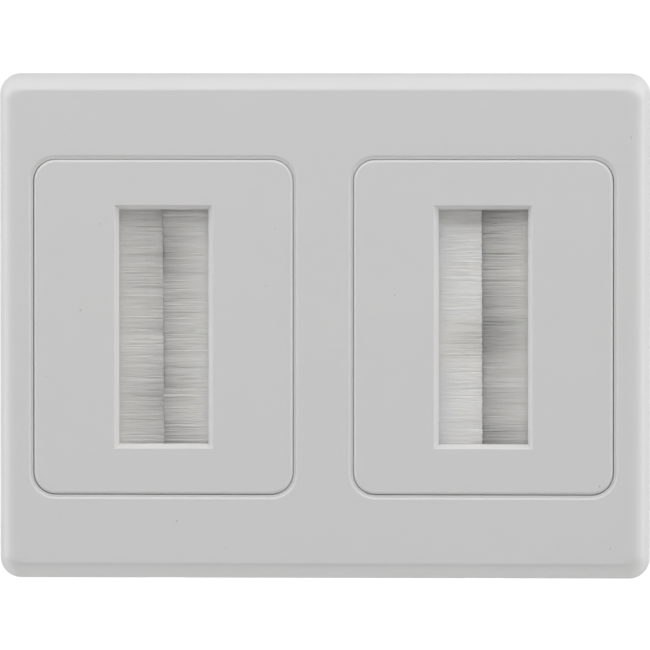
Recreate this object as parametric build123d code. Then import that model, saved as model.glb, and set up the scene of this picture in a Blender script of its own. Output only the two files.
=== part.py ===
from build123d import *
import math
import os

# A twin wall plate that lets cables out of a wall through two brush windows.
# It is drawn lying on its back: X across the plate, Y up the wall, Z out of the wall,
# with the wall at Z = 0. All sizes are in millimetres. The pieces stand up when saved.

# Panels, the raised middle of each gang
panel_width = 59.75
panel_height = 77.05
panel_corner = 5.0
panel_edge = 0.55
panel_face = 2.2
panel_wall = 1.8
panel_inner_cut = 2.0

# Clip-on cover around both panels
side_margin = 8.3
end_margin = 19.725
bar_width = 13.9
plate_depth = 9.5
plate_corner = 4.8
cover_wall = 2.0
cavity_corner_cut = 1.6
rim_land = 1.0
side_lean = 1.15
side_shoulder = 7.5
side_round = 3.4
shoulder_turns = [14, 32, 50, 68, 90]
end_lean = 0.9
end_shoulder = 6.0
end_slope = 2.6
end_crease = 1.0
corner_tightening = 0.75

# Cover openings
panel_gap = 0.12
panel_shift = 0.03
panel_lift = 0.05
ledge_width = 0.6
ledge_depth = 0.35
ledge_draft = 0.35

# Cover ribs, snap hooks and the notches for levering it off
rib_wall = 1.2
rib_drop = 2.4
rib_offset = 26.0
hook_width = 8.0
hook_wall = 1.4
hook_offset = 18.0
hook_edge = 3.5
hook_reach = 1.0
hook_clearance = 0.2
hook_nose = 0.2
catch_clearance = 0.3
spine_margin = 7.6
notch_width = 9.0
notch_height = 1.2

# Grid plates, which the wall screws hold
flange_top = 4.0
flange_thickness = 2.0
flange_corner_cut = 1.8
flange_clearance = 0.3
skirt_wall = 1.5
slot_length = 8.4
slot_width = 4.2
pad_margin = 1.9

# Brush windows
window_width = 20.6
window_height = 54.0
bevel_width = 1.05
bevel_depth = 2.0

# Brush strips: bristles folded over a wire and held in a folded channel
channel_setback = 0.6
channel_deep = 5.0
channel_wide = 4.0
channel_sheet = 0.5
channel_bend = 0.8
channel_overrun = 2.0
lip_length = 0.4
mouth_width = 2.2
wire_radius = 0.5
strip_clearance = 0.05
bristle_overrun = 1.0
bristle_tip = 2.6
ridge_pitch = 1.75
ridge_height = 0.2
seam_gap = 0.3
left_window_lean = 0.25
right_window_lean = 0.55

# Nest ribs and snap catches inside each panel
nest_gap = 0.3
nest_wall = 1.2
nest_clearance = 0.5
catch_reach = 0.9
catch_rise = 1.3
catch_width = 6.0
catch_offset = 20.0
catch_gap = 0.1

# Frames that clamp the brush strips
frame_thickness = 1.8
frame_clearance = 0.4
frame_corner_cut = 2.5
frame_window_gap = 0.3
lip_wall = 1.2
lip_drop = 0.8

# Wall screws
wall_head_radius = 3.2
wall_head_height = 2.2
wall_shank_radius = 1.75
wall_shank_length = 25.0
wall_head_clearance = 0.275
wall_neck_radius = 1.5
drive_slot_depth = 1.1
drive_slot_width = 0.9

# How far a cut runs past the faces it opens
overshoot = 1.0

# Places worked out from the sizes above
gang_pitch = panel_width + bar_width
gang_x = gang_pitch / 2
plate_width = gang_pitch + panel_width + 2 * side_margin
plate_height = panel_height + 2 * end_margin
fixing_pitch = panel_height + 2 * (wall_head_radius + wall_head_clearance)
panel_back = plate_depth - panel_face
cover_under = plate_depth - cover_wall
opening_x = gang_x + panel_shift
channel_mouth = window_width / 2 + channel_setback
channel_end = channel_mouth + channel_deep
channel_length = window_height + 2 * channel_overrun
channel_mid = panel_back - channel_wide / 2
frame_front = panel_back - channel_wide
frame_back = frame_front - frame_thickness
nest_half_width = channel_end + nest_gap
nest_half_height = channel_length / 2 + nest_gap
inside_width = panel_width - 2 * panel_wall
inside_height = panel_height - 2 * panel_wall


def slab(width, height, corner, low, high):
    """A plate with rounded corners between two distances from the wall."""
    outline = Pos(0, 0, low) * RectangleRounded(width, height, corner)
    return extrude(outline, high - low)


def cut_corner_slab(width, height, cut, low, high):
    """A plate with corners cut off straight."""
    outline = chamfer(Rectangle(width, height).vertices(), cut)
    return extrude(Pos(0, 0, low) * outline, high - low)


def bar(x, y, width, height, low, high):
    """A straight rib centred on x and y."""
    return extrude(Pos(x, y, low) * Rectangle(width, height), high - low)


def side_inset(height):
    """How far a left or right edge has come in at this distance from the wall."""
    if height <= rim_land:
        return 0.0
    if height <= side_shoulder:
        return side_lean * (height - rim_land) / (side_shoulder - rim_land)
    rise = min(1.0, (height - side_shoulder) / (plate_depth - side_shoulder))
    return side_lean + side_round * (1 - math.sqrt(1 - rise**2))


def end_inset(height):
    """How far the top or bottom edge has come in: a steep foot, a slope, a tight round."""
    if height <= rim_land:
        return 0.0
    if height <= end_shoulder:
        return end_lean * (height - rim_land) / (end_shoulder - rim_land)
    slope_rise = plate_depth - end_shoulder
    steepness = math.atan2(slope_rise, end_slope)
    tangent = end_crease * math.tan(steepness / 2)
    crease_start = plate_depth - tangent * math.sin(steepness)
    if height <= crease_start:
        return end_lean + end_slope * (height - end_shoulder) / slope_rise
    above_centre = min(end_crease, height - (plate_depth - end_crease))
    return end_lean + end_slope + tangent - math.sqrt(end_crease**2 - above_centre**2)


def cover_section(height):
    """The cover's outline at this distance from the wall."""
    in_x = side_inset(height)
    in_y = end_inset(height)
    corner = plate_corner - corner_tightening * (in_x + in_y) / 2
    outline = RectangleRounded(plate_width - 2 * in_x, plate_height - 2 * in_y, corner)
    return Pos(0, 0, height) * outline


def shoulder_heights():
    """Distances from the wall, closer together where the shoulder turns faster."""
    rise = plate_depth - side_shoulder
    return [side_shoulder + rise * math.sin(math.radians(turn)) for turn in shoulder_turns]


def cavity_section(height):
    """The hollow's outline at this distance from the wall, with corners cut straight."""
    outline = Rectangle(
        plate_width - 2 * (side_inset(height) + cover_wall),
        plate_height - 2 * (end_inset(height) + cover_wall),
    )
    return Pos(0, 0, height) * chamfer(outline.vertices(), cavity_corner_cut)


def cover_cavity():
    """The hollow inside the cover, open towards the wall."""
    heights = [-overshoot, rim_land, end_shoulder, cover_under]
    return loft([cavity_section(height) for height in heights], ruled=True)


# The grid plate's outline follows the hollow of the cover at the flange's height.
hollow_half_width = plate_width / 2 - side_inset(flange_top) - cover_wall
hollow_half_height = plate_height / 2 - end_inset(flange_top) - cover_wall
flange_width = 2 * (hollow_half_width - flange_clearance - gang_x)
flange_height = 2 * (hollow_half_height - flange_clearance)
hook_y = flange_height / 2 - hook_edge


def snap_hook():
    """A tongue that drops from the cover and catches behind the flange."""
    outer = hook_y
    inner = hook_y - hook_wall
    catch = flange_top - flange_thickness - hook_clearance
    tip = catch - hook_reach - hook_nose
    profile = Polyline(
        (inner - hook_wall, cover_under),
        (inner, cover_under - hook_wall),
        (inner, tip),
        (outer, tip),
        (outer + hook_reach, catch),
        (outer, catch),
        (outer, cover_under - hook_wall),
        (outer + hook_wall, cover_under),
        close=True,
    )
    face = make_face(Plane.YZ * profile)
    return extrude(face, hook_width / 2, both=True)


def surround():
    """The cover: a lofted shell with two rebated openings, ribs and hooks."""
    heights = [0.0, rim_land, end_shoulder, side_shoulder] + shoulder_heights()
    outside = loft([cover_section(height) for height in heights], ruled=True)
    cavity = cover_cavity()
    shell = outside - cavity

    opening_w = panel_width + 2 * panel_gap
    opening_h = panel_height + 2 * panel_gap
    opening_corner = panel_corner + panel_gap
    ledge = plate_depth - ledge_depth
    rib_low = cover_under - rib_drop
    spine_length = flange_height - 2 * spine_margin
    inner_parts = bar(0, 0, rib_wall, spine_length, rib_low, cover_under)
    pockets = []
    for side in (-1, 1):
        centre = Pos(side * opening_x, -panel_lift, 0)
        for x in (-rib_offset, rib_offset):
            inner_parts += centre * bar(x, 0, rib_wall, plate_height, rib_low, cover_under)
        through = slab(opening_w, opening_h, opening_corner, 0.0, plate_depth + overshoot)
        foot = RectangleRounded(
            opening_w + 2 * ledge_width,
            opening_h + 2 * ledge_width,
            opening_corner + ledge_width,
        )
        brim_grow = ledge_width + ledge_draft
        brim = RectangleRounded(
            opening_w + 2 * brim_grow, opening_h + 2 * brim_grow, opening_corner + brim_grow
        )
        pocket = loft([Pos(0, 0, ledge) * foot, Pos(0, 0, plate_depth) * brim], ruled=True)
        pockets += [centre * through, centre * pocket]

    body = shell + (inner_parts & cavity)
    for pocket in pockets:
        body -= pocket
    for side in (-1, 1):
        for x in (-hook_offset, hook_offset):
            for turn in (0, 180):
                body += Pos(side * gang_x + x, 0, 0) * Rot(0, 0, turn) * snap_hook()
        notch_deep = 4 * cover_wall
        body -= bar(side * gang_x, -plate_height / 2, notch_width, notch_deep, 0.0, notch_height)
    return body


def window_cut():
    """The bevelled window: a sloped brim at the face and a straight throat."""
    throat = bar(0, 0, window_width, window_height, 0.0, plate_depth)
    foot = Pos(0, 0, plate_depth - bevel_depth) * Rectangle(window_width, window_height)
    brim = Pos(0, 0, plate_depth) * Rectangle(
        window_width + 2 * bevel_width, window_height + 2 * bevel_width
    )
    return throat + loft([foot, brim], ruled=True)


def frame_catch():
    """A wedge on the inside of the panel's wall that the brush frame snaps past."""
    wall = inside_width / 2
    seat = frame_back - catch_gap
    wedge = Polyline(
        (wall, seat), (wall - catch_reach, seat), (wall, seat - catch_rise), close=True
    )
    return extrude(Plane.XZ * make_face(wedge), catch_width / 2, both=True)


def grid_plate():
    """One gang: a skirted flange with a raised panel, a nest and catches."""
    under = flange_top - flange_thickness
    flange = cut_corner_slab(flange_width, flange_height, flange_corner_cut, 0.0, flange_top)
    skirt_w = flange_width - 2 * skirt_wall
    flange -= bar(0, 0, skirt_w, flange_height - 2 * skirt_wall, 0.0, under)
    panel = slab(panel_width, panel_height, panel_corner, 0.0, plate_depth)
    panel = chamfer(panel.faces().sort_by(Axis.Z)[-1].edges(), panel_edge)
    hollow = cut_corner_slab(inside_width, inside_height, panel_inner_cut, 0.0, panel_back)
    plate = flange + panel - hollow

    # Ribs and pads under the flange, outside the raised panel.
    rib_length = (flange_height - panel_height) / 2
    rib_y = panel_height / 2 + rib_length / 2
    for end in (-1, 1):
        pad_w = slot_length + 2 * pad_margin
        pad_h = slot_width + 2 * pad_margin
        plate += bar(0, end * fixing_pitch / 2, pad_w, pad_h, 0.0, under)
        for x in (-rib_offset, rib_offset):
            plate += bar(x, end * (rib_y - skirt_wall / 2), rib_wall, rib_length, 0.0, under)

    # Nest that holds the two channels side by side behind the window.
    nest_low = frame_front + nest_clearance
    nest = bar(
        0,
        0,
        2 * (nest_half_width + nest_wall),
        2 * (nest_half_height + nest_wall),
        nest_low,
        panel_back,
    )
    nest -= bar(0, 0, 2 * nest_half_width, 2 * nest_half_height, nest_low, panel_back)
    plate += nest

    # Webs from the nest to the walls around it, and catches that hold the frame.
    web_low = (nest_low + panel_back) / 2
    web_start = nest_half_width + nest_wall / 2
    web_length = inside_width / 2 + panel_wall / 2 - web_start
    stay_start = nest_half_height + nest_wall / 2
    stay_length = inside_height / 2 + panel_wall / 2 - stay_start
    for side in (-1, 1):
        web_x = side * (web_start + web_length / 2)
        stay_y = side * (stay_start + stay_length / 2)
        for end in (-1, 1):
            web_y = end * window_height / 4
            plate += bar(web_x, web_y, web_length, rib_wall, web_low, panel_back)
            stay_x = end * window_width / 2
            plate += bar(stay_x, stay_y, rib_wall, stay_length, web_low, panel_back)
            plate += Pos(0, end * catch_offset, 0) * Rot(0, 0, 90 - side * 90) * frame_catch()

    plate -= window_cut()
    catch_w = hook_width + 2 * hook_clearance
    catch_low = hook_y - hook_wall - hook_reach
    catch_high = hook_y + catch_clearance
    for end in (-1, 1):
        slot = Pos(0, end * fixing_pitch / 2, 0) * SlotOverall(slot_length, slot_width)
        plate -= extrude(slot, flange_top)
        catch_y = end * (catch_low + catch_high) / 2
        for x in (-hook_offset, hook_offset):
            plate -= bar(x, catch_y, catch_w, catch_high - catch_low, 0.0, flange_top)
    return plate


def brush_channel():
    """Sheet folded to a channel with lips that pinch the bristles, mouth towards -X."""
    outline = Rectangle(channel_deep, channel_wide)
    far_corners = outline.vertices().group_by(Axis.X)[-1]
    outline = fillet(far_corners, channel_bend)
    hollow_deep = channel_deep - lip_length - channel_sheet
    hollow_x = (lip_length - channel_sheet) / 2
    outline -= Pos(hollow_x, 0) * Rectangle(hollow_deep, channel_wide - 2 * channel_sheet)
    outline -= Pos(-channel_deep / 2, 0) * Rectangle(2 * lip_length, mouth_width)
    centre = Pos(channel_mouth + channel_deep / 2, 0, channel_mid)
    return centre * extrude(Plane.XZ * outline, channel_length / 2, both=True)


def fold_centre():
    """Where the core wire runs: the middle of the fold inside the channel."""
    fold_radius = channel_wide / 2 - channel_sheet - strip_clearance
    x = channel_end - channel_sheet - strip_clearance - fold_radius
    return x, fold_radius


def core_wire():
    """The wire that the bristles are folded over."""
    x, _ = fold_centre()
    run = Plane.XZ * Circle(wire_radius)
    return Pos(x, 0, channel_mid) * extrude(run, channel_length / 2, both=True)


def ridge_outline(x, middle, half_thickness, ridge, length):
    """A closed saw-edged outline at x: ridges on the front and on the back."""
    count = round(length / ridge_pitch)
    step = length / (2 * count)
    front = []
    back = []
    for index in range(2 * count + 1):
        y = index * step - length / 2
        depth = half_thickness - ridge * (1 - index % 2)
        front.append((x, y, middle + depth))
        back.append((x, y, middle - depth))
    return Wire.make_polygon(front + back[::-1], close=True)


def bristles(lean):
    """Bristles folded over the wire; the free part is ridged and leans by its tip."""
    length = window_height + 2 * bristle_overrun
    root_x = channel_mouth - strip_clearance
    neck = mouth_width / 2 - strip_clearance
    root = ridge_outline(root_x, channel_mid, neck, ridge_height, length)
    tip = ridge_outline(
        seam_gap / 2, channel_mid + lean, bristle_tip / 2, ridge_height, length
    )
    free = Solid.make_loft([root, tip], ruled=True)

    fold_x, fold_radius = fold_centre()
    shoulder_x = channel_mouth + lip_length + strip_clearance
    belly_x = shoulder_x + fold_radius - neck
    fold_end = (fold_x + fold_radius, 0)
    lower = Polyline(
        (fold_x, -fold_radius), (belly_x, -fold_radius), (shoulder_x, -neck), (root_x, -neck)
    )
    close_root = Line((root_x, -neck), (root_x, neck))
    upper = Polyline(
        (root_x, neck), (shoulder_x, neck), (belly_x, fold_radius), (fold_x, fold_radius)
    )
    turn = ThreePointArc((fold_x, fold_radius), fold_end, (fold_x, -fold_radius))
    outline = make_face(lower + close_root + upper + turn)
    outline -= Pos(fold_x, 0) * Circle(wire_radius + strip_clearance)
    fold = extrude(Plane.XZ * outline, length / 2, both=True)
    return Pos(0, 0, channel_mid) * fold + free


def brush_frame():
    """The frame that clamps both channels against the panel, ribbed on its back."""
    width = inside_width - 2 * frame_clearance
    height = inside_height - 2 * frame_clearance
    frame = cut_corner_slab(width, height, frame_corner_cut, frame_back, frame_front)
    hole_w = window_width + 2 * frame_window_gap
    hole_h = window_height + 2 * frame_window_gap
    lip_low = frame_back - lip_drop
    frame += bar(0, 0, hole_w + 2 * lip_wall, hole_h + 2 * lip_wall, lip_low, frame_back)
    rib_span = width - 2 * (catch_reach + lip_wall)
    for end in (-1, 1):
        frame += bar(0, end * window_height / 4, rib_span, lip_wall, lip_low, frame_back)
    frame -= bar(0, 0, hole_w, hole_h, lip_low, frame_front)
    return frame


def wall_screw():
    """A slotted screw, its seat at Z = 0, with a neck slimmer than its thread."""
    edge = Polyline(
        (0, wall_head_height),
        (0, -wall_shank_length),
        (wall_shank_radius, -wall_shank_length),
        (wall_shank_radius, -flange_top),
        (wall_neck_radius, -flange_top),
        (wall_neck_radius, 0),
        (wall_head_radius, 0),
        (wall_head_radius, wall_head_height),
        close=True,
    )
    screw = revolve(Plane.XZ * make_face(edge), Axis.Z)
    slot_low = wall_head_height - drive_slot_depth
    return screw - bar(0, 0, 2 * wall_head_radius, drive_slot_width, slot_low, wall_head_height)


def wall_screws():
    """The two screws of one gang, seated on its flange; the thread starts at the wall."""
    screw = wall_screw()
    return [Pos(0, end * fixing_pitch / 2, flange_top) * screw for end in (-1, 1)]


def save(name, shapes, x=0.0):
    """Stands the pieces up against the wall and writes them as one file."""
    solids = [Rot(90, 0, 0) * Pos(x, 0, 0) * shape for shape in shapes]
    piece = solids[0] if len(solids) == 1 else Compound(children=solids)
    export_step(piece, f"parts/{name}.step")


def build():
    os.makedirs("parts", exist_ok=True)
    save("surround", [surround()])
    plate = grid_plate()
    frame = brush_frame()
    channel = brush_channel()
    wire = core_wire()
    for gang, x, lean in (
        ("left", -gang_x, left_window_lean),
        ("right", gang_x, right_window_lean),
    ):
        save(f"grid_plate_{gang}", [plate], x)
        save(f"brush_frame_{gang}", [frame], x)
        save(f"wall_screws_{gang}", wall_screws(), x)
        for strip, turn, tip_lean in (("left", 180, lean), ("right", 0, -lean)):
            side = Rot(0, 0, turn)
            name = f"{gang}_window_{strip}"
            save(f"{name}_channel", [side * channel], x)
            save(f"{name}_core_wire", [side * wire], x)
            save(f"{name}_bristles", [side * bristles(tip_lean)], x)


build()
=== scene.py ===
import bpy
import bmesh
import math
import numpy as np
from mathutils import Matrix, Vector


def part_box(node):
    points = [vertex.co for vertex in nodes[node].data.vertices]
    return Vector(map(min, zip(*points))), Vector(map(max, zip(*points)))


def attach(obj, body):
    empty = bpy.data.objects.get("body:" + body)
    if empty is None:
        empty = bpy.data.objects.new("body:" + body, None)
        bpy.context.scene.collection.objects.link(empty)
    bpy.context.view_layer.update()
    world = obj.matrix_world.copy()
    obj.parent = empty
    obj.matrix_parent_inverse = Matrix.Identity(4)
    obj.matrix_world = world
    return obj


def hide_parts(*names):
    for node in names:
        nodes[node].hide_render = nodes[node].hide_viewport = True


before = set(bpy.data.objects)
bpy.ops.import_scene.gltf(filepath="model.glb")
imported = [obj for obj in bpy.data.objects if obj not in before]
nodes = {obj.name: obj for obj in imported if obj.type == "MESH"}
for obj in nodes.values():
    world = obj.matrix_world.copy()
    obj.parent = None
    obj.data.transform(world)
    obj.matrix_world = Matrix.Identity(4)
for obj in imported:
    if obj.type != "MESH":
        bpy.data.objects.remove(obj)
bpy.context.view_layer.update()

mm = 0.001
fullTurn = 2 * math.pi


# One number or colour in a shader; each operator adds its Math node
class Value:
    def __init__(self, graph, socket):
        self.graph = graph
        self.socket = socket

    def maths(self, operation, first, second):
        return self.graph.node("ShaderNodeMath", {"operation": operation}, [first, second])

    def __add__(self, other):
        return self.maths("ADD", self, other)

    def __radd__(self, other):
        return self.maths("ADD", other, self)

    def __sub__(self, other):
        return self.maths("SUBTRACT", self, other)

    def __rsub__(self, other):
        return self.maths("SUBTRACT", other, self)

    def __mul__(self, other):
        return self.maths("MULTIPLY", self, other)

    def __rmul__(self, other):
        return self.maths("MULTIPLY", other, self)

    def __gt__(self, other):
        return self.maths("GREATER_THAN", self, other)


# A node tree with one method that adds any node
class Graph:
    def __init__(self, tree):
        self.tree = tree

    # settings come first, then the sockets' values or links, by place or by name
    def node(self, kind, settings=None, sockets=(), output=0):
        new = self.tree.nodes.new(kind)
        for name, setting in (settings or {}).items():
            setattr(new, name, setting)
        pairs = sockets.items() if isinstance(sockets, dict) else enumerate(sockets)
        for key, value in pairs:
            if isinstance(value, Value):
                self.tree.links.new(value.socket, new.inputs[key])
            else:
                new.inputs[key].default_value = value
        return Value(self, new.outputs[output])

    # a value stretched between two limits and clipped
    def spread(self, value, low, high, newLow=0.0, newHigh=1.0, kind="LINEAR"):
        return self.node("ShaderNodeMapRange", {"clamp": True, "interpolation_type": kind},
                         [value, low, high, newLow, newHigh])


# A material under construction
class Finish(Graph):
    def __init__(self, name, **constants):
        self.material = bpy.data.materials.new(name)
        self.material.use_nodes = True
        super().__init__(self.material.node_tree)
        self.shader = self.tree.nodes["Principled BSDF"]
        for socket, value in constants.items():
            self.shader.inputs[socket].default_value = value

    def feed(self, socket, value):
        self.tree.links.new(value.socket, self.shader.inputs[socket])

    # Object coordinates
    def place(self):
        return self.node("ShaderNodeTexCoord", output=3)

    def scaled(self, vector, scale):
        return self.node("ShaderNodeVectorMath", {"operation": "MULTIPLY"}, [vector, scale])

    def noise(self, vector, scale, detail):
        return self.node("ShaderNodeTexNoise", {}, {"Vector": vector, "Scale": scale, "Detail": detail})

    # colours are links or (red, green, blue); sockets 6 and 7 and output 2 are the Mix node's colours
    def blend(self, factor, first, second):
        first, second = [tone if isinstance(tone, Value) else (*tone, 1) for tone in (first, second)]
        return self.node("ShaderNodeMix", {"data_type": "RGBA"}, {0: factor, 6: first, 7: second}, 2)

    def bump(self, height, distance):
        self.feed("Normal", self.node("ShaderNodeBump", {}, {
            "Height": height, "Distance": distance, "Strength": 1.0}))


whitePlastic = {    # the cover and the panels
    "tone": (0.752, 0.746, 0.752),
    "cloud": (0.755, 0.746, 0.746),    # faint clouds of a warmer white
    "grainDepth": 0.006 * mm,
}
greyPlastic = {    # the brush frames
    "tone": (0.5, 0.5, 0.49),
    "cloud": (0.52, 0.51, 0.49),
    "grainDepth": 0.01 * mm,
}
satin = {    # all scales are cells a metre
    "roughness": 0.5,
    "cloudScale": 45,
    "smudgeScale": 70,
    "grainScale": 5200,
    "coarseScale": 900,
    "coarseShare": 1.5,
    "speckTone": (0.30, 0.29, 0.28),   # moulded-in dust
    "speckShare": 0.45,
    "speckScale": 190,
    "speckRim": 0.05,                  # a speck's radius, and the radius of its full tone, in cells
    "speckCore": 0.03,
    "pickScale": 160,
    "pickAbove": 0.6,                  # only the cells where this noise is higher hold a speck
}


# Satin moulded plastic: fine grain, faint clouds and a few dust specks
def satinPlastic(name, plastic):
    finish = Finish(name, IOR=1.5)
    place = finish.place()
    clouds = finish.spread(finish.noise(place, satin["cloudScale"], 3), 0.35, 0.65)
    cells = finish.node("ShaderNodeTexVoronoi", {"feature": "F1"}, {
        "Vector": place, "Scale": satin["speckScale"], "Randomness": 1.0})
    picked = finish.noise(place, satin["pickScale"], 0) > satin["pickAbove"]
    specks = finish.spread(cells, satin["speckRim"], satin["speckCore"]) * picked
    colour = finish.blend(clouds, plastic["tone"], plastic["cloud"])
    finish.feed("Base Color", finish.blend(specks * satin["speckShare"], colour, satin["speckTone"]))
    smudges = finish.spread(finish.noise(place, satin["smudgeScale"], 4), 0.3, 0.7, -0.03, 0.05)
    finish.feed("Roughness", smudges + satin["roughness"])
    fine = finish.noise(place, satin["grainScale"], 2)
    coarse = finish.noise(place, satin["coarseScale"], 3)
    finish.bump(fine + coarse * satin["coarseShare"], plastic["grainDepth"])
    return finish.material


metals = {    # tone, its darker clouds, roughness, lines a metre along X, Y and Z
    "channelMetal": ((0.80, 0.81, 0.82), (0.66, 0.67, 0.68), 0.32, (7000, 7000, 260)),
    "wireSteel": ((0.62, 0.61, 0.60), (0.50, 0.49, 0.48), 0.28, (7000, 7000, 260)),
    "screwZinc": ((0.72, 0.70, 0.62), (0.60, 0.58, 0.52), 0.30, (900, 900, 900)),
}
metalCloudScale = 120
metalLineDepth = 0.01 * mm


# Metal with fine lines from rolling or drawing, and faint clouds
def drawnMetal(name):
    tone, dark, roughness, lineScale = metals[name]
    finish = Finish(name, Metallic=1.0)
    place = finish.place()
    lines = finish.noise(finish.scaled(place, lineScale), 1, 3)
    clouds = finish.noise(place, metalCloudScale, 3)
    shade = finish.spread(clouds * 0.6 + lines * 0.4, 0.35, 0.65)
    finish.feed("Base Color", finish.blend(shade, dark, tone))
    finish.feed("Roughness", finish.spread(lines, 0.3, 0.7, roughness - 0.07, roughness + 0.1))
    finish.bump(lines, metalLineDepth)
    return finish.material


nylonFlecks = {
    "tone": (0.90, 0.89, 0.86),
    "share": 0.2,
    "scale": (350, 1500, 6000),    # a metre along X, Y and Z, so that they lie along the filaments
    "depth": 0.01 * mm,
}


# Nylon filament: each one has its own tone, with painted light and shade, written on the mesh
def filamentNylon(name):
    finish = Finish(name, Roughness=0.42, IOR=1.53)
    shade = finish.node("ShaderNodeAttribute", {"attribute_name": "shade"})
    flecks = finish.noise(finish.scaled(finish.place(), nylonFlecks["scale"]), 1, 2)
    covered = finish.spread(flecks, 0.3, 0.75, 0, nylonFlecks["share"])
    finish.feed("Base Color", finish.blend(covered, shade, nylonFlecks["tone"]))
    finish.bump(flecks, nylonFlecks["depth"])
    return finish.material


# Four-cornered faces between the points of a grid, whose rows close on themselves where asked
def gridFaces(rows, columns, closed=False, start=0):
    last = columns if closed else columns - 1
    row, column = np.meshgrid(np.arange(rows - 1), np.arange(last), indexing="ij")
    near, far = row * columns, (row + 1) * columns
    right = (column + 1) % columns
    return np.stack([near + column, near + right, far + right, far + column], -1).reshape(-1, 4) + start


# faceSets holds arrays of faces, each array with its own number of corners a face
def pieceFromArrays(name, points, faceSets, material):
    sizes = np.concatenate([np.full(len(faces), faces.shape[1]) for faces in faceSets])
    corners = np.concatenate([faces.ravel() for faces in faceSets])
    starts = np.concatenate([[0], np.cumsum(sizes)[:-1]])
    mesh = bpy.data.meshes.new(name)
    mesh.vertices.add(len(points))
    mesh.vertices.foreach_set("co", np.ascontiguousarray(points, np.float32).ravel())
    mesh.loops.add(len(corners))
    mesh.loops.foreach_set("vertex_index", corners.astype(np.int32))
    mesh.polygons.add(len(sizes))
    mesh.polygons.foreach_set("loop_start", starts.astype(np.int32))
    mesh.polygons.foreach_set("use_smooth", np.ones(len(sizes), bool))
    mesh.update(calc_edges=True)
    mesh.validate()
    mesh.materials.append(material)
    piece = bpy.data.objects.new(name, mesh)
    bpy.context.scene.collection.objects.link(piece)
    return piece


rounding = {
    "plastic": 0.12 * mm,      # width of the small round on an edge
    "screwHead": 0.15 * mm,
    "segments": 2,
    "angle": 32,               # degrees: edges sharper than this are rounded
    "hardAngle": 50,           # and those that were too tight for it, and are sharper than this, stay hard
    "merge": 0.002 * mm,       # corners nearer to each other than this become one
}


# Drops the faces behind a depth, and closes the openings that they leave
def cutBehind(shape, depth):
    behind = [face for face in shape.faces if min(corner.co.y for corner in face.verts) > depth]
    bmesh.ops.delete(shape, geom=behind, context="FACES")
    rims = [edge for edge in shape.edges if edge.is_boundary]
    bmesh.ops.holes_fill(shape, edges=rims)


# A node in its true form, with its edges broken by a small round
def dressedCopy(name, nodeName, material, width, cutDepth=None):
    mesh = nodes[nodeName].data.copy()
    mesh.name = name
    shape = bmesh.new()
    shape.from_mesh(mesh)
    bmesh.ops.remove_doubles(shape, verts=shape.verts, dist=rounding["merge"])
    if cutDepth is not None:
        cutBehind(shape, cutDepth)
    for face in shape.faces:
        face.smooth = True
        face.material_index = 0
    shape.to_mesh(mesh)
    shape.free()
    mesh.materials.clear()
    mesh.materials.append(material)
    piece = bpy.data.objects.new(name, mesh)
    bpy.context.scene.collection.objects.link(piece)
    bevel = piece.modifiers.new("edges", "BEVEL")
    bevel.width = width
    bevel.segments = rounding["segments"]
    bevel.limit_method = "ANGLE"
    bevel.angle_limit = math.radians(rounding["angle"])
    bevel.loop_slide = False
    rounded = bpy.data.meshes.new_from_object(piece.evaluated_get(bpy.context.evaluated_depsgraph_get()))
    piece.modifiers.clear()
    piece.data = rounded
    rounded.set_sharp_from_angle(angle=math.radians(rounding["hardAngle"]))
    normals = piece.modifiers.new("normals", "WEIGHTED_NORMAL")
    normals.keep_sharp = True
    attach(piece, "root")
    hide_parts(nodeName)
    return piece


thread = {
    "radius": 1.75 * mm,       # over the crests
    "pitch": 0.6 * mm,
    "depth": 0.33 * mm,
    "crest": 0.07,             # half the flat crest, as a share of the pitch
    "flank": 0.36,             # and the run of a flank
    "around": 20,
    "rowsPerTurn": 8,
    "start": -0.02 * mm,       # just inside the heads, which end at 0
    "headCut": -0.05 * mm,     # what lies wholly behind this is no part of a head
    "runOut": 0.7 * mm,        # the thread tapers off over this length
    "tipDrop": 0.25 * mm,      # to a tip whose radius is this much less than the roots'
}


# Radius of the thread at a depth y and a turn of the circle. With p = y / pitch - turn, and w from p to the
# nearest whole number: crest radius - depth times clip((w - crest) / flank, 0, 1), and less towards the tip.
def threadRadius(y, turn, end):
    place = y / thread["pitch"] - turn
    away = np.abs(place - np.round(place))
    shank = thread["radius"] - thread["depth"] * np.clip((away - thread["crest"]) / thread["flank"], 0, 1)
    tipRadius = thread["radius"] - thread["depth"] - thread["tipDrop"]
    return np.minimum(shank, tipRadius + (thread["radius"] - tipRadius) * (end - y) / thread["runOut"])


# The shanks of a gang's two screws: rings of the thread's radius, carried along Y
def threadedShanks(name, nodeName, material):
    low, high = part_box(nodeName)
    headRadius = (high.x - low.x) / 2
    around = thread["around"]
    rows = int((high.y - thread["start"]) / thread["pitch"] * thread["rowsPerTurn"])
    y = np.linspace(thread["start"], high.y, rows)[:, None]
    turn = np.arange(around)[None, :] / around
    radius = threadRadius(y, turn, high.y)
    x = (low.x + high.x) / 2 + radius * np.cos(turn * fullTurn)
    ring = np.arange(around)[None, :]
    points, walls, caps = [], [], []
    for number, middleZ in enumerate((low.z + headRadius, high.z - headRadius)):
        z = middleZ + radius * np.sin(turn * fullTurn)
        points.append(np.stack([x, np.broadcast_to(y, x.shape), z], -1).reshape(-1, 3))
        offset = number * x.size
        walls.append(gridFaces(rows, around, closed=True, start=offset)[:, ::-1])
        caps += [ring + offset, ring[:, ::-1] + offset + x.size - around]
    faces = [np.concatenate(walls), np.concatenate(caps)]
    piece = pieceFromArrays(name, np.concatenate(points), faces, material)
    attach(piece, "root")
    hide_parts(nodeName)
    return piece
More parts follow.
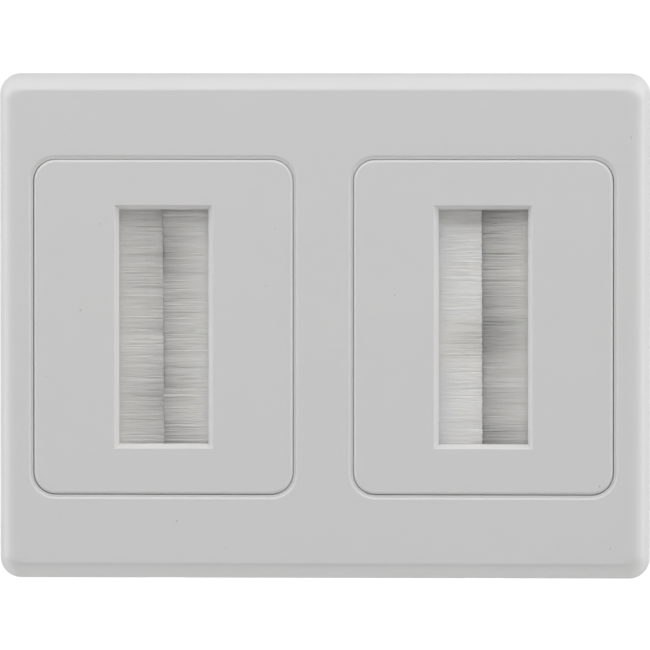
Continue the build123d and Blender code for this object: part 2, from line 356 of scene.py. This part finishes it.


# Window and strip: side, lean forwards, (tone with the strip's painted light and shade, then painted shade at
# the tips, in patches and at the top and foot, which is painted light where less than 0)
strips = {
    ("left", "left"): (-1, 0.08 * mm, (0.83, 0.16, 0.08, -0.26)),
    ("left", "right"): (1, -0.08 * mm, (0.92, 0.35, 0.10, -0.05)),
    ("right", "left"): (-1, 0.14 * mm, (0.97, 0.03, 0.14, -0.10)),
    ("right", "right"): (1, -0.14 * mm, (0.84, 0.42, 0.12, 0.03)),
}
seams = {    # where the tips meet: offset from the window's middle, and its run over the height
    "left": (-0.29 * mm, -0.0085),
    "right": (-0.50 * mm, -0.003),
}
tipPlace = {-1: 0.10 * mm, 1: 0.05 * mm}    # how far right of the seam each side's tips end: they overlap
bristle = {
    "seed": 21,
    "count": 5600,
    "sides": 3,
    "stations": (0, 0.05, 0.14, 0.36, 0.68, 1),    # along a filament, from its root to its tip
    "radius": 0.085 * mm,
    "margin": 0.1275 * mm,     # from a filament's line to the solid's box
    "root": 0.5 * mm,          # filaments start this far inside the channel's mouth
    "neck": 0.97 * mm,         # half the pack's thickness at the mouth
    "tip": 1.26 * mm,          # and where it has spread
    "spreadOver": 0.14,        # which takes this share of a filament
    "ragged": 0.08 * mm,       # uneven tips
    "drift": 0.12 * mm,        # how far clumps of tips wander up or down
    "sag": 0.20 * mm,          # and how far clumps bow
    "stray": 0.10 * mm,        # and each tip by itself
    "ripple": 0.03 * mm,       # and how far a filament waves
    "rippleAngles": (3, 8),    # radians of that wave along a filament
    "ripplePhases": (0, 6.28),
    "depthStep": 0.6180339887,    # the golden ratio's steps spread the filaments evenly over the pack
    "depthJitter": 0.04,
    "billow": 0.05 * mm,       # clumps in or out
    "billowRoom": 1.6,         # room kept for a billow, in billows
    "tint": (1.0, 0.992, 0.962),
    "paintedEndReach": 2.2 * mm,      # how far the painted light and shade at a strip's top and foot reaches
    "paintedRootLight": 0.22,          # painted light where filaments leave the channel, against the window walls' shadow
    "paintedRootReach": 0.3,          # over this share of a filament
    "unevenTone": 0.02,
    "lightFrom": 0.93,         # filaments drawn above this are lighter
    "lightLift": 0.05,
    "darkTo": 0.04,            # and those below this are darker
    "darkFall": 0.07,
    "patchTone": 0.35,         # how much of the tips' patches the whole filament takes
}
bristleWaves = {    # smooth random lines over the height: how many sines, the shortest and the longest
    "drift": (8, 1.3 * mm, 16 * mm),
    "billow": (6, 2.5 * mm, 24 * mm),
    "sag": (8, 1.1 * mm, 9 * mm),
    "paintedShadePatch": (5, 5 * mm, 40 * mm),
    "tonePatch": (4, 6 * mm, 30 * mm),
}
fold = {
    "start": 0.1 * mm,         # inside the channel's mouth
    "slit": 0.01 * mm,         # half the gap between its legs
    "gap": 0.05 * mm,          # round the wire
    "steps": 14,
    "rows": 29,
}


# A smooth random line: sines of several lengths over the place, weighted by their lengths to the power 0.7
def smoothRandom(places, dice, wave):
    count, shortest, longest = bristleWaves[wave]
    lengths = np.geomspace(shortest, longest, count)
    phases = dice.uniform(0, fullTurn, count)
    weights = lengths ** 0.7 / (lengths ** 0.7).sum()
    return (np.sin(places[..., None] / lengths * fullTurn + phases) * weights).sum(-1) * 2


# Sizes of a strip, taken from its solids. Those across are distances from the middle of its window.
def stripSizes(gang, strip):
    solid = f"{gang}_window_{strip}"
    low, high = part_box(solid + "_bristles")
    channelLow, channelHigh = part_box(solid + "_channel")
    wireLow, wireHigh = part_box(solid + "_core_wire")
    plateLow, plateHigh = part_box(f"grid_plate_{gang}")
    middleX = (plateLow.x + plateHigh.x) / 2
    wire = abs((wireLow.x + wireHigh.x) / 2 - middleX)
    return {
        "low": low,
        "high": high,
        "middleX": middleX,
        "middleY": (channelLow.y + channelHigh.y) / 2,
        "mouth": min(abs(channelLow.x - middleX), abs(channelHigh.x - middleX)),
        "wire": wire,
        "wireRadius": (wireHigh.x - wireLow.x) / 2,
        "foldRadius": max(abs(low.x - middleX), abs(high.x - middleX)) - wire,
    }


# The fold round the wire: a hairpin's outer line and its inner line, carried along Z.
# Outer line: straight leg, half circle of the fold's radius round the wire, straight leg.
# Inner line: the same with the wire's radius and a gap.
def bristleFold(sizes, side):
    wire, start = sizes["wire"], sizes["mouth"] + fold["start"]
    turn = np.linspace(-math.pi / 2, math.pi / 2, fold["steps"])
    bend = np.stack([np.cos(turn), np.sin(turn)], -1)
    hole = sizes["wireRadius"] + fold["gap"]
    outerLeg = np.array([[start, -bristle["neck"]], [sizes["mouth"] + bristle["root"], -bristle["neck"]]])
    innerLeg = np.array([[start, -fold["slit"]], [wire - hole, -fold["slit"]]])
    outerLine = np.concatenate([outerLeg, [wire, 0] + bend * sizes["foldRadius"], outerLeg[::-1] * [1, -1]])
    innerLine = np.concatenate([innerLeg, [wire, 0] + bend * hole, innerLeg[::-1] * [1, -1]])
    loop = np.concatenate([outerLine, innerLine[::-1]])
    z = np.linspace(sizes["low"].z, sizes["high"].z, fold["rows"])[:, None]
    x, y, z = np.broadcast_arrays(sizes["middleX"] + side * loop[:, 0], loop[:, 1] + sizes["middleY"], z)
    walls = gridFaces(len(z), len(loop), closed=True)
    step = np.arange(len(outerLine) - 1)
    cap = np.stack([step, step + 1, len(loop) - 2 - step, len(loop) - 1 - step], -1)
    faces = np.concatenate([walls, cap[:, ::-1], cap + (len(z) - 1) * len(loop)])
    return np.stack([x, y, z], -1).reshape(-1, 3), faces if side > 0 else faces[:, ::-1]


# The lines of a strip's filaments, with a from 0 at the root to 1 at the tip.
# Across: from the channel to the seam.
# Height: root height + clump drift a^1.7 + clump sag a (1 - a) + stray a + ripple a.
# Depth: place in the pack, denser outside, times half its thickness, - lean a + billow a^2.
# Half the thickness: neck + (tip - neck) (a / spreadOver)^0.6 as far as spreadOver, within the solid's box.
def filamentLines(sizes, gang, side, lean, dice):
    low, high, middleY = sizes["low"], sizes["high"], sizes["middleY"]
    neck, count, margin = bristle["neck"], bristle["count"], bristle["margin"]
    order = np.arange(count)
    rootZ = low.z + margin + (order + dice.uniform(0, 1, count)) / count * (high.z - low.z - 2 * margin)
    place = np.mod(order * bristle["depthStep"] + dice.uniform(0, bristle["depthJitter"], count), 1)
    depth = np.sin((place - 0.5) * math.pi)
    a = np.array(bristle["stations"])[None, :]
    drift = smoothRandom(rootZ, dice, "drift")
    billow = smoothRandom(rootZ, dice, "billow")[:, None] * bristle["billow"] * a ** 2
    offset, run = seams[gang]
    tip = side * (offset + run * rootZ + tipPlace[side] + dice.normal(0, bristle["ragged"], count))
    start = sizes["mouth"] + bristle["root"]
    x = start + (tip[:, None] - start) * a
    angle = a * dice.uniform(*bristle["rippleAngles"], count)[:, None]
    ripple = np.sin(angle + dice.uniform(*bristle["ripplePhases"], count)[:, None]) * bristle["ripple"]
    sag = smoothRandom(rootZ, dice, "sag")[:, None] * bristle["sag"] * a * (1 - a)
    stray = dice.normal(0, bristle["stray"], count)[:, None] * a
    z = rootZ[:, None] + drift[:, None] * bristle["drift"] * a ** 1.7 + sag + stray
    z = np.clip(z + ripple * a, low.z + margin, high.z - margin)
    half = neck + (bristle["tip"] - neck) * np.minimum(1, a / bristle["spreadOver"]) ** 0.6
    room = high.y - middleY - margin - abs(lean) * a - bristle["billowRoom"] * bristle["billow"] * a ** 2
    y = middleY + depth[:, None] * np.minimum(half, room) - lean * a + billow
    y = np.clip(y, low.y + margin, high.y - margin)
    return np.stack([sizes["middleX"] + side * x, y, z], -1), rootZ, drift


# A tube along each line: the same small ring stands at every station
def filamentTubes(lines, side):
    count, stations = lines.shape[:2]
    sides = bristle["sides"]
    corner = np.arange(sides)
    turn = corner / sides * fullTurn
    ring = np.stack([np.zeros(sides), np.cos(turn), np.sin(turn)], -1) * bristle["radius"]
    stride = stations * sides
    walls = gridFaces(stations, sides, closed=True)
    ends = np.stack([corner[::-1], corner + stride - sides])
    if side < 0:
        walls, ends = walls[:, ::-1], ends[:, ::-1]
    offset = (np.arange(count) * stride)[:, None, None]
    points = (lines[:, :, None, :] + ring).reshape(-1, 3)
    return points, (walls + offset).reshape(-1, 4), (ends + offset).reshape(-1, sides)


# A tone for each filament, with painted shade that falls towards the tips in patches, painted light and shade
# at the strip's top and foot, and painted light at the roots
def filamentTonesAndPaintedShade(sizes, rootZ, drift, look, dice):
    # the strip's tone holds its painted light and shade; the other three are painted shade, painted light
    # where less than 0
    tone, paintedTipShade, patchShadeAndTone, paintedEndShade = look
    a = np.array(bristle["stations"])[None, :]
    single = dice.uniform(0, 1, len(rootZ))
    shade = 1 + dice.normal(0, bristle["unevenTone"], len(rootZ)) + bristle["unevenTone"] * drift
    shade += bristle["lightLift"] * (single > bristle["lightFrom"])
    shade -= bristle["darkFall"] * (single < bristle["darkTo"])
    # patches of painted shade at the tips, and patches of tone over whole filaments
    paintedShadePatch = np.clip(smoothRandom(rootZ, dice, "paintedShadePatch"), -1, 1)
    shade += bristle["patchTone"] * patchShadeAndTone * np.clip(smoothRandom(rootZ, dice, "tonePatch"), -1, 1)
    # painted shade along each filament, growing towards the tip and varying in patches
    paintedShade = (paintedTipShade + patchShadeAndTone * paintedShadePatch)[:, None] * a
    # painted light and shade at the strip's top and foot
    fromTop, fromFoot = rootZ - sizes["high"].z, sizes["low"].z - rootZ
    ends = paintedEndShade * (np.exp(fromTop / bristle["paintedEndReach"]) + 0.5 * np.exp(fromFoot / bristle["paintedEndReach"]))
    # painted light at the roots
    paintedRootGain = 1 + bristle["paintedRootLight"] * np.exp(-a / bristle["paintedRootReach"])
    return tone * shade[:, None] * (1 - paintedShade) * (1 - ends[:, None]) * paintedRootGain


# One strip's filaments and their fold, with each point's tone and painted light and shade
def bristlePack(gang, strip, material, seed):
    nodeName = f"{gang}_window_{strip}_bristles"
    side, lean, look = strips[gang, strip]
    sizes = stripSizes(gang, strip)
    dice = np.random.default_rng(seed)
    lines, rootZ, drift = filamentLines(sizes, gang, side, lean, dice)
    tonesAndPaintedShade = filamentTonesAndPaintedShade(sizes, rootZ, drift, look, dice)
    tubePoints, tubeWalls, tubeEnds = filamentTubes(lines, side)
    foldPoints, foldFaces = bristleFold(sizes, side)
    piece = pieceFromArrays(f"{gang}Window{strip.title()}Bristles", np.concatenate([tubePoints, foldPoints]),
                            [np.concatenate([tubeWalls, foldFaces + len(tubePoints)]), tubeEnds], material)
    # the fold takes the strip's tone, with its painted light and shade
    foldToneWithPaintedLight = look[0]
    tonesAndPaintedShade = np.concatenate([np.repeat(tonesAndPaintedShade.ravel(), bristle["sides"]), np.full(len(foldPoints), foldToneWithPaintedLight)])
    colours = np.clip(np.append(tonesAndPaintedShade[:, None] * bristle["tint"], np.ones((len(tonesAndPaintedShade), 1)), axis=1), 0, 1)
    attribute = piece.data.color_attributes.new("shade", "FLOAT_COLOR", "POINT")
    attribute.data.foreach_set("color", colours.astype(np.float32).ravel())
    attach(piece, "root")
    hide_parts(nodeName)
    return piece


coverWhite = satinPlastic("coverWhite", whitePlastic)
panelWhite = satinPlastic("panelWhite", whitePlastic)
framePlastic = satinPlastic("framePlastic", greyPlastic)
channelMetal = drawnMetal("channelMetal")
wireSteel = drawnMetal("wireSteel")
screwZinc = drawnMetal("screwZinc")
nylon = filamentNylon("nylon")
print("materials made")

edge = rounding["plastic"]
dressedCopy("coverShell", "surround", coverWhite, edge)
for gang in ("left", "right"):
    dressedCopy(f"{gang}Plate", f"grid_plate_{gang}", panelWhite, edge)
    dressedCopy(f"{gang}BrushFrame", f"brush_frame_{gang}", framePlastic, edge)
print("moulded pieces dressed")

for number, (gang, strip) in enumerate(strips):
    bristlePack(gang, strip, nylon, bristle["seed"] + number)
    for part, material in (("channel", channelMetal), ("core_wire", wireSteel)):
        solid = nodes[f"{gang}_window_{strip}_{part}"]
        solid.data.materials.clear()
        solid.data.materials.append(material)
print("brush strips made")

for gang in ("left", "right"):
    nodeName = f"wall_screws_{gang}"
    dressedCopy(f"{gang}ScrewHeads", nodeName, screwZinc,
                rounding["screwHead"], thread["headCut"])
    threadedShanks(f"{gang}ScrewThreads", nodeName, screwZinc)
print("screws made")


studio = {
    "aim": (0.0, 0.0, 0.00014),
    "distance": 2.8,
    "azimuth": 2.5,            # degrees to the plate's right
    "elevation": 2.0,
    "frameWidth": 0.15005,     # metres across the picture at the wall plane
    "sensor": 36.0,
}


# The rotation that points a camera or a lamp at a target
def aimed(location, target):
    direction = np.array(target, float) - np.array(location, float)
    pan = math.atan2(direction[0], direction[1])
    tilt = math.atan2(direction[2], math.hypot(direction[0], direction[1]))
    return (math.pi / 2 + tilt, 0, -pan)


def placeCamera():
    aimX, aimY, aimZ = studio["aim"]
    azimuth, elevation = math.radians(studio["azimuth"]), math.radians(studio["elevation"])
    flat = studio["distance"] * math.cos(elevation)
    location = (aimX + flat * math.sin(azimuth), aimY - flat * math.cos(azimuth),
                aimZ + studio["distance"] * math.sin(elevation))
    data = bpy.data.cameras.new("camera")
    data.sensor_width = studio["sensor"]
    data.lens = studio["sensor"] * studio["distance"] / studio["frameWidth"]
    data.clip_start, data.clip_end = 0.05, 60
    camera = bpy.data.objects.new("camera", data)
    camera.location = location
    camera.rotation_euler = aimed(location, studio["aim"])
    bpy.context.scene.collection.objects.link(camera)
    bpy.context.scene.camera = camera


lamps = {    # name: place, width, height, watts
    "overhead": ((0.0, -0.55, 1.2), 1.8, 1.0, 13.3),
    "leftSide": ((-1.5, -0.4, 0.0), 1.2, 1.4, 9.3),
    "rightSide": ((1.5, -0.4, 0.0), 1.2, 1.4, 3.6),
    "rightFront": ((1.3, -0.9, -0.4), 1.2, 1.2, 2.3),
    "above": ((0.0, 0.5, 0.8), 1.4, 0.6, 1.1),
    "below": ((0.0, 0.5, -0.8), 1.4, 0.6, 1.5),
}


def placeLamps():
    for name, (location, width, height, watts) in lamps.items():
        data = bpy.data.lights.new(name, "AREA")
        data.shape = "RECTANGLE"
        data.size, data.size_y, data.energy = width, height, watts
        lamp = bpy.data.objects.new(name, data)
        lamp.location = location
        lamp.rotation_euler = aimed(location, studio["aim"])
        bpy.context.scene.collection.objects.link(lamp)


room = {
    "seen": 1.05,              # white to the camera
    "left": 0.80,              # as a light
    "right": 1.22,
    "edges": (0.3, 0.9),       # the light grows from 0 to full between these, in the direction's X
}


# The room is white to the camera. As a light it is bright at the plate's left and right.
def placeRoom():
    world = bpy.data.worlds.new("room")
    bpy.context.scene.world = world
    world.use_nodes = True
    sky = Graph(world.node_tree)
    across = sky.node("ShaderNodeSeparateXYZ", {}, [sky.node("ShaderNodeTexCoord")])
    dark, full = room["edges"]
    light = (sky.spread(across, -dark, -full, 0, room["left"], "SMOOTHSTEP")
             + sky.spread(across, dark, full, 0, room["right"], "SMOOTHSTEP"))
    seen = sky.node("ShaderNodeLightPath")
    background = sky.tree.nodes["Background"]
    background.inputs["Color"].default_value = (1, 1, 1, 1)
    sky.tree.links.new((light * (1 - seen) + seen * room["seen"]).socket, background.inputs["Strength"])
    bpy.context.scene.view_settings.view_transform = "Standard"
    bpy.context.scene.view_settings.look = "None"


ground = {
    "z": -0.9,
    "half": 3.0,
    "rows": 9,
    "tones": ((0.82, 0.82, 0.81), (0.86, 0.86, 0.85)),
    "cloudScale": 3,
}


# A pale floor: a flat grid
def placeFloor():
    span = np.linspace(-ground["half"], ground["half"], ground["rows"])
    x, y = np.meshgrid(span, span)
    points = np.stack([x, y, np.full_like(x, ground["z"])], -1).reshape(-1, 3)
    finish = Finish("paleFloor", Roughness=0.8)
    clouds = finish.noise(finish.place(), ground["cloudScale"], 3)
    finish.feed("Base Color", finish.blend(clouds, *ground["tones"]))
    floor = pieceFromArrays("floor", points, [gridFaces(len(span), len(span))], finish.material)


placeCamera()
placeLamps()
placeRoom()
placeFloor()
print("studio made")
